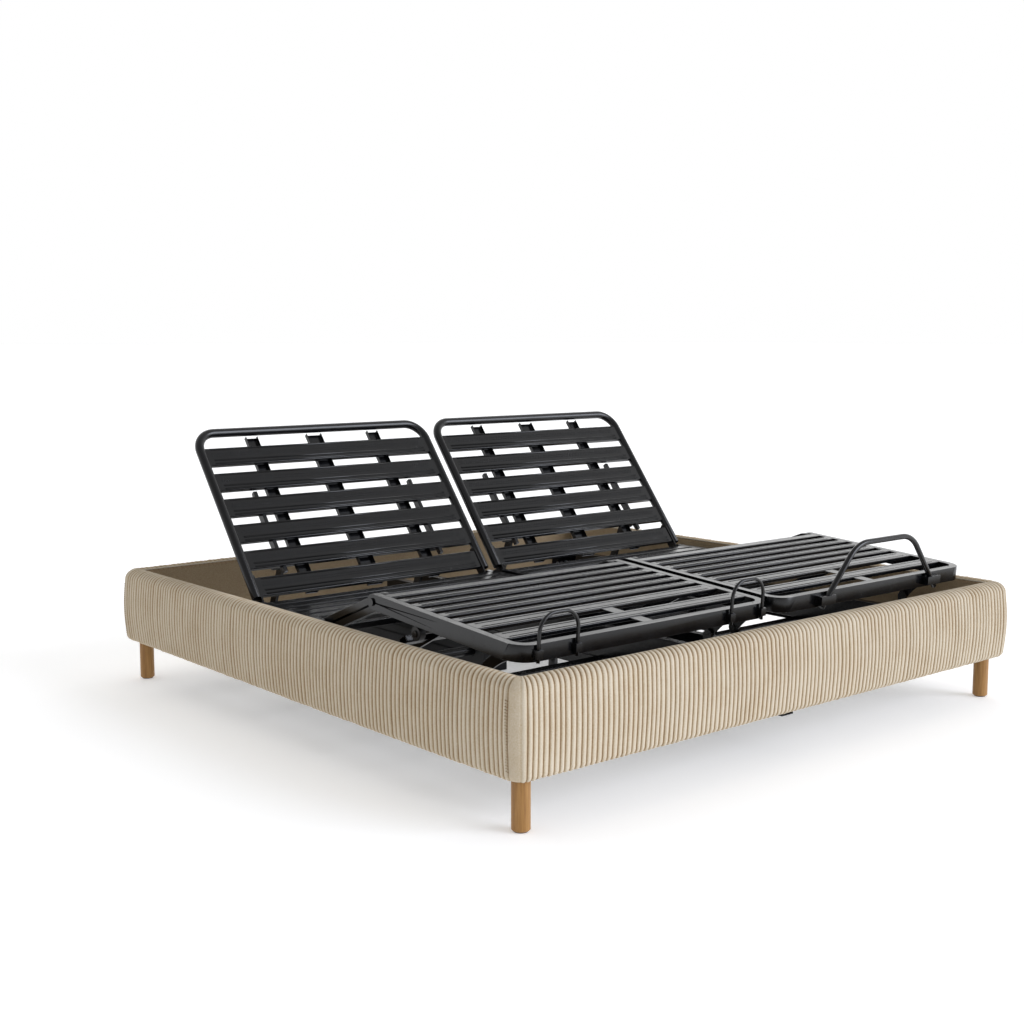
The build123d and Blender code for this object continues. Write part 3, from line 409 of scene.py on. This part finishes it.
# %% [markdown]
# ## The padded rails
# Each rail is a board wrapped in foam and corduroy. The ribs run upright and over the top,
# and the inside is plain, so one cover is a swept section whose surface rises and falls
# along the rail. The foot and head covers also wrap round the rounded corners, and meet the
# side covers at an upright seam. A mesh made by formula fits this better than a cloth
# simulation, which would blur the ribs.

# %% Rail sizes from the frame
HALF_WIDTH = (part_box("cover_side_right")[1].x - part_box("cover_side_left")[0].x) / 2
HALF_LENGTH = (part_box("cover_head")[1].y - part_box("cover_foot")[0].y) / 2
RAIL_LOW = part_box("cover_foot")[0].z
RAIL_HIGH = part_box("cover_foot")[1].z
RAIL_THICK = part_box("cover_foot")[1].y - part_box("cover_foot")[0].y
CORNER_RADIUS = 0.040
RIB_PITCH = 0.0174
RIB_HEIGHT = 0.0042
TOP_RADIUS = 0.036
INNER_RADIUS = 0.020
BOTTOM_RADIUS = 0.022
CROWN = 0.006
FACE_STEPS = 10
SEAM_DIP = 0.004
SEAM_REACH = 0.007
RIB_WIDTH_SPREAD = 0.06
RIB_HEIGHT_SPREAD = 0.09
RIB_FULLNESS = 0.6
BAND_EDGE = (0.55, 0.70)
BAND_LEVEL = 0.7
# Share of the pale rib-top tone given to the plain corner band, which has none of the painted valley shade.
BAND_SHADE_FREE_TONE = 0.8
LINING_SINK = 0.5
# Slow waves in the cloth: size, rate along the rail, rate up the rail.
SWAY_WAVES = ((0.0013, 5.1, 6), (0.0008, 13, -9))
SWELL_WAVE = (0.0012, 2.3, 14)
RIB_STEPS = (0.0, 0.07, 0.18, 0.33, 0.5, 0.67, 0.82, 0.93)
print("rails", HALF_WIDTH, HALF_LENGTH, RAIL_LOW, RAIL_HIGH, RAIL_THICK)


# %% Section of a rail
def rail_section():
    """The closed outline of a rail, a row for each point.

    The columns are depth, height, normal (two), share of rib and share of plain cloth.
    """
    points = []

    def arc(depth, height, radius, start, end, steps, ribs=(1.0, 1.0), plain=(0.0, 0.0)):
        for step in range(steps + 1):
            share = step / steps
            angle = math.radians(start + (end - start) * share)
            points.append((depth + radius * math.cos(angle), height + radius * math.sin(angle),
                           math.cos(angle), math.sin(angle),
                           ribs[0] + (ribs[1] - ribs[0]) * share, plain[0] + (plain[1] - plain[0]) * share))

    face_low, face_high = RAIL_LOW + BOTTOM_RADIUS, RAIL_HIGH - TOP_RADIUS
    arc(BOTTOM_RADIUS, face_low, BOTTOM_RADIUS, 270, 180, 6)
    for step in range(1, FACE_STEPS):
        share = step / FACE_STEPS
        bulge = CROWN * math.sin(math.pi * share)
        points.append((-bulge, face_low + (face_high - face_low) * share, -1.0, 0.0, 1.0, 0.0))
    arc(TOP_RADIUS, face_high, TOP_RADIUS, 180, 90, 8)
    arc(RAIL_THICK - INNER_RADIUS, RAIL_HIGH - INNER_RADIUS, INNER_RADIUS, 90, 0, 7,
        ribs=(1.0, 0.0), plain=(0.0, 1.0))
    for step in range(1, 4):
        z = RAIL_HIGH - INNER_RADIUS - (RAIL_HIGH - RAIL_LOW - INNER_RADIUS - BOTTOM_RADIUS) * step / 4
        points.append((RAIL_THICK, z, 1.0, 0.0, 0.0, 1.0))
    arc(RAIL_THICK - BOTTOM_RADIUS, RAIL_LOW + BOTTOM_RADIUS, BOTTOM_RADIUS, 0, -90, 4,
        ribs=(0.0, 0.0), plain=(1.0, 1.0))
    return np.array(points)


section = rail_section()
print("section points", len(section))


# %% Path of a cover, seen from above
def smooth_step(value, start, end):
    """0 before start, 1 after end, and an even curve in between."""
    share = np.clip((value - start) / (end - start), 0, 1)
    return share * share * (3 - 2 * share)


def cover_stations(half_run, half_span, corners, seed):
    """Stations along a rail, a row for each.

    The columns are outer point, inner point, outward direction (two each), rib height, rib
    share, end dip, run and band. The rail lies along X with its outer face towards -Y. With
    corners, it wraps round both rounded corners, in a plain band, to the seams on the side
    rails.
    """
    rng = np.random.default_rng(seed)
    arc_length = CORNER_RADIUS * math.pi / 2 if corners else 0.0
    straight = 2 * (half_run - CORNER_RADIUS)
    total = straight + 2 * arc_length
    rib_count = round(total / RIB_PITCH)
    widths = 1 + RIB_WIDTH_SPREAD * rng.standard_normal(rib_count)
    widths *= total / widths.sum()
    starts = np.concatenate([[0], np.cumsum(widths)])
    heights = 1 + RIB_HEIGHT_SPREAD * rng.standard_normal(rib_count)
    stations = [(starts[i] + widths[i] * share, share, heights[i])
                for i in range(rib_count) for share in RIB_STEPS]
    stations.append((total, 0.0, 1.0))
    inner_x, inner_y = half_run - RAIL_THICK, RAIL_THICK - half_span
    rows = []
    for s, share, height in stations:
        side = -1 if s < arc_length else 1
        if arc_length <= s <= arc_length + straight:
            angle = 1.5 * math.pi
            along = 2 * (s - arc_length) / straight - 1
            centre_x, inner = (half_run - CORNER_RADIUS) * along, inner_x * along
        else:
            round_run = s if side < 0 else s - arc_length - straight
            angle = (math.pi if side < 0 else 1.5 * math.pi) + round_run / CORNER_RADIUS
            centre_x, inner = side * (half_run - CORNER_RADIUS), side * inner_x
        outward = (math.cos(angle), math.sin(angle))
        edge = min(s, total - s)
        ribbed = 1.0
        if corners:
            ribbed = float(smooth_step(edge, BAND_EDGE[0] * arc_length, BAND_EDGE[1] * arc_length))
        rib = abs(math.sin(math.pi * share)) ** RIB_FULLNESS * ribbed
        dip = 1 - float(smooth_step(edge, 0.0, SEAM_REACH))
        rows.append((centre_x + CORNER_RADIUS * outward[0],
                     CORNER_RADIUS - half_span + CORNER_RADIUS * outward[1],
                     inner, inner_y, *outward,
                     rib * height + BAND_LEVEL * (1 - ribbed), rib, dip, s, 1 - ribbed))
    return np.array(rows)


print("stations for a 2 m rail", len(cover_stations(HALF_WIDTH, HALF_LENGTH, True, 1)))


# %% Surface and body of a cover
def cover_surface(rows, points, seed):
    """Positions of a cover's skin: one row of points for each station."""
    rng = np.random.default_rng(seed + 50)
    phase = rng.uniform(0, 2 * math.pi, 4)
    column = rows[:, None, :]
    depth = points[None, :, 0:1] / RAIL_THICK
    flat = column[..., 0:2] * (1 - depth) + column[..., 2:4] * depth
    z = np.broadcast_to(points[None, :, 1], flat.shape[:2])
    run = column[..., 9]
    outward = column[..., 4:6]
    along = np.stack([-outward[..., 1], outward[..., 0]], -1)
    sway = sum(size * np.sin(run * along_rate + phase[i] + up_rate * z)
               for i, (size, along_rate, up_rate) in enumerate(SWAY_WAVES))
    rib_share = points[None, :, 4]
    lift = RIB_HEIGHT * (column[..., 6] - 1.0) * rib_share - RIB_HEIGHT * LINING_SINK * (1 - rib_share)
    swell, swell_along, swell_up = SWELL_WAVE
    puff = swell * np.sin(run * swell_along + phase[2]) * np.sin(swell_up * z + phase[3])
    lift = lift - SEAM_DIP * column[..., 8] + puff
    co = np.empty((*flat.shape[:2], 3))
    sideways = along * (sway * rib_share)[..., None]
    outwards = outward * (-points[None, :, 2] * lift)[..., None]
    co[..., 0:2] = flat + sideways + outwards
    co[..., 2] = z + points[None, :, 3] * lift
    return co


def tube_faces(count, around, closed):
    """Faces of a tube of count rings with around points each: a loop, or capped at both ends."""
    faces = []
    for i in range(count if closed else count - 1):
        here, there = i * around, (i + 1) % count * around
        for j in range(around):
            after = (j + 1) % around
            faces.append((here + j, here + after, there + after, there + j))
    if not closed:
        faces.append(tuple(range(around))[::-1])
        faces.append(tuple((count - 1) * around + j for j in range(around)))
    return faces


def mesh_object(name, co, faces, turn, paint, attributes=()):
    """A smooth-shaded mesh object with its normals outward, turned about the upright axis."""
    mesh = bpy.data.meshes.new(name)
    mesh.from_pydata(co, [], faces)
    for label, values in attributes:
        layer = mesh.attributes.new(label, "FLOAT", "POINT")
        layer.data.foreach_set("value", np.asarray(values, np.float32))
    mesh.transform(Matrix.Rotation(math.radians(turn), 4, "Z"))
    tidy = bmesh.new()
    tidy.from_mesh(mesh)
    bmesh.ops.recalc_face_normals(tidy, faces=tidy.faces)
    tidy.to_mesh(mesh)
    tidy.free()
    mesh.polygons.foreach_set("use_smooth", [True] * len(mesh.polygons))
    mesh.materials.append(paint)
    made = bpy.data.objects.new(name, mesh)
    bpy.context.scene.collection.objects.link(made)
    return made


def rail_cover(name, node, half_run, half_span, corners, turn, seed):
    """Sweep the section along the rail, raise the ribs, and close both ends."""
    rows = cover_stations(half_run, half_span, corners, seed)
    count, around = len(rows), len(section)
    co = cover_surface(rows, section, seed).reshape(-1, 3)
    faces = tube_faces(count, around, False)
    # The rib attribute carries the painted shade: dark in the valleys, pale on the rib tops and on the
    # plain corner band.
    rib = (rows[:, 7:8] + BAND_SHADE_FREE_TONE * rows[:, 10:11]) * section[None, :, 4]
    plain = section[None, :, 5] + 0 * rows[:, 7:8]
    attributes = [("rib", rib.ravel()), ("plain", plain.ravel())]
    cover = mesh_object(name, co.tolist(), faces, turn, corduroy_cloth, attributes)
    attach(cover, "surround")
    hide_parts(node)
    print(name, len(cover.data.polygons), "faces")
    return cover


rail_cover("foot_rail_cover", "cover_foot", HALF_WIDTH, HALF_LENGTH, True, 0, 11)
rail_cover("head_rail_cover", "cover_head", HALF_WIDTH, HALF_LENGTH, True, 180, 12)
rail_cover("left_rail_cover", "cover_side_left", HALF_LENGTH, HALF_WIDTH, False, -90, 13)
rail_cover("right_rail_cover", "cover_side_right", HALF_LENGTH, HALF_WIDTH, False, 90, 14)

# %% [markdown]
# ## Piping and seam stitches
# A thin welt runs round the inside of the rails where the corduroy meets the lining. Each
# corner seam is topstitched on both sides. The stitches all have one shape, so one
# Geometry Nodes group sets a small bead on every point of a mesh, and the same group later
# makes the knurling of the slats.

# %% Piping round the inner edge
PIPING_RADIUS = 0.0022
PIPING_CORNER = 0.008
CORNER_STEPS = 5
ROUND_STEPS = 8


def ring(radius, rise):
    """Points of a round section: how far across and how far up."""
    turns = [2 * math.pi * step / ROUND_STEPS for step in range(ROUND_STEPS)]
    return [(radius * math.cos(turn), rise * math.sin(turn)) for turn in turns]


def piping(name, half_x, half_y, height, radius, corner):
    """A closed round welt along a rectangle with rounded corners."""
    path = []
    for quarter, (side_x, side_y) in enumerate(((1, 1), (-1, 1), (-1, -1), (1, -1))):
        for step in range(CORNER_STEPS + 1):
            angle = math.pi / 2 * (quarter + step / CORNER_STEPS)
            outward = (math.cos(angle), math.sin(angle))
            path.append((side_x * (half_x - corner), side_y * (half_y - corner), outward))
    co = []
    for x, y, outward in path:
        for across, up in ring(radius, radius):
            co.append((x + (corner + across) * outward[0], y + (corner + across) * outward[1], height + up))
    # rib 1 gives the welt the pale rib-top tone, with none of the painted valley shade.
    attributes = [("rib", [1.0] * len(co)), ("plain", [0.0] * len(co))]
    return mesh_object(name, co, tube_faces(len(path), ROUND_STEPS, True), 0, corduroy_cloth, attributes)


edge_inset = INNER_RADIUS * (1 - math.sqrt(0.5))
piping_depth = RAIL_THICK - edge_inset
inner_piping = piping("inner_piping", HALF_WIDTH - piping_depth, HALF_LENGTH - piping_depth,
                      RAIL_HIGH - edge_inset, PIPING_RADIUS, PIPING_CORNER)
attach(inner_piping, "surround")
print(inner_piping.name, len(inner_piping.data.polygons), "faces")


# %% One small bead on every point
def bead_group():
    """Node group: a low rounded bead on each point of the input mesh, made real and painted."""
    tree = bpy.data.node_groups.new("beads_on_points", "GeometryNodeTree")
    inputs = {"Points": "Geometry", "Bead Size": "Vector", "Bead Turn": "Rotation",
              "Size Spread": "Float", "Seed": "Int", "Paint": "Material"}
    for label, kind in inputs.items():
        tree.interface.new_socket(label, in_out="INPUT", socket_type="NodeSocket" + kind)
    tree.interface.new_socket("Beads", in_out="OUTPUT", socket_type="NodeSocketGeometry")
    given = add_node(tree, "NodeGroupInput").outputs
    bead = add_node(tree, "GeometryNodeMeshUVSphere",
                    values={"Segments": 8, "Rings": 4, "Radius": 1.0}).outputs["Mesh"]
    smooth = add_node(tree, "GeometryNodeSetShadeSmooth", links={"Geometry": bead}).outputs[0]
    least = math_node(tree, "SUBTRACT", 1.0, given["Size Spread"])
    most = math_node(tree, "ADD", 1.0, given["Size Spread"])
    spread = add_node(tree, "FunctionNodeRandomValue", {"data_type": "FLOAT"},
                      links={2: least, 3: most, "Seed": given["Seed"]}).outputs[1]
    size = add_node(tree, "ShaderNodeVectorMath", {"operation": "SCALE"},
                    links={0: given["Bead Size"], "Scale": spread}).outputs[0]
    placed = add_node(tree, "GeometryNodeInstanceOnPoints",
                      links={"Points": given["Points"], "Instance": smooth,
                             "Rotation": given["Bead Turn"], "Scale": size}).outputs[0]
    real = add_node(tree, "GeometryNodeRealizeInstances", links={"Geometry": placed}).outputs[0]
    painted = add_node(tree, "GeometryNodeSetMaterial",
                       links={"Geometry": real, "Material": given["Paint"]}).outputs[0]
    add_node(tree, "NodeGroupOutput", links={"Beads": painted})
    return tree


beads_on_points = bead_group()


def beads(name, points, size, turn, spread, seed, paint):
    """A plain mesh of beads at these points."""
    start = bpy.data.meshes.new(name + "_points")
    start.from_pydata([tuple(point) for point in points], [], [])
    maker = bpy.data.objects.new(name + "_maker", start)
    bpy.context.scene.collection.objects.link(maker)
    modifier = maker.modifiers.new("beads", "NODES")
    modifier.node_group = beads_on_points
    values = {"Bead Size": size, "Bead Turn": turn, "Size Spread": spread, "Seed": seed, "Paint": paint}
    for socket in beads_on_points.interface.items_tree:
        if socket.in_out == "INPUT" and socket.name in values:
            modifier[socket.identifier] = values[socket.name]
    ready = maker.evaluated_get(bpy.context.evaluated_depsgraph_get())
    mesh = bpy.data.meshes.new_from_object(ready)
    bpy.data.objects.remove(maker)
    mesh.name = name
    made = bpy.data.objects.new(name, mesh)
    bpy.context.scene.collection.objects.link(made)
    return made


# %% Stitches beside the corner seams
STITCH_PITCH = 0.0075
STITCH_SIZE = (0.0011, 0.0024, 0.0011)
STITCH_OFFSET = 0.0045
STITCH_SUNK = {-1: 0.0025, 1: 0.0008}
STITCH_SPREAD = 0.12
STITCH_END_MARGIN = (0.03, 0.04)
stitch_low, stitch_high = RAIL_LOW + STITCH_END_MARGIN[0], RAIL_HIGH - STITCH_END_MARGIN[1]
stitch_count = int((stitch_high - stitch_low) / STITCH_PITCH)
stitch_points = []
for side_x in (-1, 1):
    for side_y in (-1, 1):
        for row in (-1, 1):
            seam_y = side_y * (HALF_LENGTH - CORNER_RADIUS + row * STITCH_OFFSET)
            for step in range(stitch_count):
                z = stitch_low + STITCH_PITCH * step
                share = (z - RAIL_LOW) / (RAIL_HIGH - RAIL_LOW)
                surface = HALF_WIDTH + CROWN * math.sin(math.pi * share)
                stitch_points.append((side_x * (surface - STITCH_SUNK[row]), seam_y, z))
seam_stitches = beads("seam_stitches", stitch_points, STITCH_SIZE, (0.0, 0.0, 0.0),
                      STITCH_SPREAD, 3, corduroy_cloth)
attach(seam_stitches, "surround")
print(seam_stitches.name, len(stitch_points), "stitches")

# %% [markdown]
# ## Pressed and knurled slats
# The back slats are pressed steel with two staggered rows of small pips and three raised
# beads, and the leg slats have two finer beads each. The slats are found on the CAD mesh,
# so the details sit on whatever slats the model has, at their own tilt.

# %% Find the slats of a section
LEAST_SLAT_LENGTH = 0.3
TOP_FACE_SLACK = 0.0004
JOIN_GAP = 0.001


def slat_faces(node_name):
    """Where a section lies, and the span of each slat's top face in its own flat plane."""
    mesh = frame["nodes"][node_name].data
    co = np.empty(len(mesh.vertices) * 3, np.float32)
    mesh.vertices.foreach_get("co", co)
    co = co.reshape(-1, 3).astype(float)
    middle = (co.min(0) + co.max(0)) / 2
    areas = {}
    for face in mesh.polygons:
        if abs(face.normal.x) < 0.01 and face.normal.z > 0.3:
            facing = (round(face.normal.y, 3), round(face.normal.z, 3))
            areas[facing] = areas.get(facing, 0.0) + face.area
    up = np.array(max(areas, key=areas.get))
    up /= np.linalg.norm(up)
    along = np.array([up[1], -up[0]])
    flat = np.column_stack([co[:, 0], (co - middle)[:, 1:] @ along, (co - middle)[:, 1:] @ up])
    top = flat[:, 2].max()
    spans = []
    for face in mesh.polygons:
        corners = flat[list(face.vertices)]
        if corners[:, 2].min() > top - TOP_FACE_SLACK and np.ptp(corners[:, 0]) > LEAST_SLAT_LENGTH:
            (x0, y0, _), (x1, y1, _) = corners.min(0), corners.max(0)
            spans.append([y0, y1, x0, x1])
    slats = []
    for y0, y1, x0, x1 in sorted(spans):
        if slats and y0 < slats[-1][1] + JOIN_GAP:
            last = slats[-1]
            slats[-1] = [last[0], max(last[1], y1), min(last[2], x0), max(last[3], x1)]
        else:
            slats.append([y0, y1, x0, x1])

    def place(x, y, z):
        """A point over the section's flat plane, in the frame."""
        across, height = middle[1:] + along * y + up * (top + z)
        return (x, across, height)

    return place, math.atan2(along[1], along[0]), slats


def bead_bars(name, place, bars, radius, rise):
    """Long half-sunk round bars, one for each (start x, end x, y)."""
    co, faces = [], []
    for start, end, y in bars:
        first = len(co)
        co += [place(x, y + across, up) for x in (start, end) for across, up in ring(radius, rise)]
        faces += [tuple(first + corner for corner in face) for face in tube_faces(2, ROUND_STEPS, False)]
    return mesh_object(name, co, faces, 0, powder_coat)


# %% Pips and beads on the slats
PIP_PITCH = 0.0085
PIP_ROWS = (0.004, 0.013)
PIP_SIZE = (0.0031, 0.0030, 0.0020)
PIP_SPREAD = 0.08
END_MARGIN = 0.022
# Each section's bead places as shares of the slat's width, then bead half-width and rise.
slat_styles = {
    "back": ((-0.42, -0.22, 0.44), 0.0032, 0.0026),
    "thigh": ((-0.28, 0.28), 0.0014, 0.0010),
    "calf": ((-0.28, 0.28), 0.0014, 0.0010),
}
for side in SIDES:
    for section_name, (bead_places, radius, rise) in slat_styles.items():
        place, tilt, slats = slat_faces(f"{section_name}_slats_{side}")
        bars = [(x0 + END_MARGIN, x1 - END_MARGIN, (y0 + y1) / 2 + share * (y1 - y0))
                for y0, y1, x0, x1 in slats for share in bead_places]
        made = [bead_bars(f"{section_name}_slat_beads_{side}", place, bars, radius, rise)]
        if section_name == "back":
            pips = [place(x0 + END_MARGIN + PIP_PITCH * (step + row / 2), (y0 + y1) / 2 + across, 0.0)
                    for y0, y1, x0, x1 in slats for row, across in enumerate(PIP_ROWS)
                    for step in range(int((x1 - x0 - 2 * END_MARGIN) / PIP_PITCH))]
            made.append(beads(f"back_slat_pips_{side}", pips, PIP_SIZE, (tilt, 0.0, 0.0),
                              PIP_SPREAD, 5, powder_coat))
        body = body_of(frame["nodes"][f"{section_name}_slats_{side}"])[0]
        for piece in made:
            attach(piece, body)
            print(piece.name, len(piece.data.polygons), "faces on", len(slats), "slats")
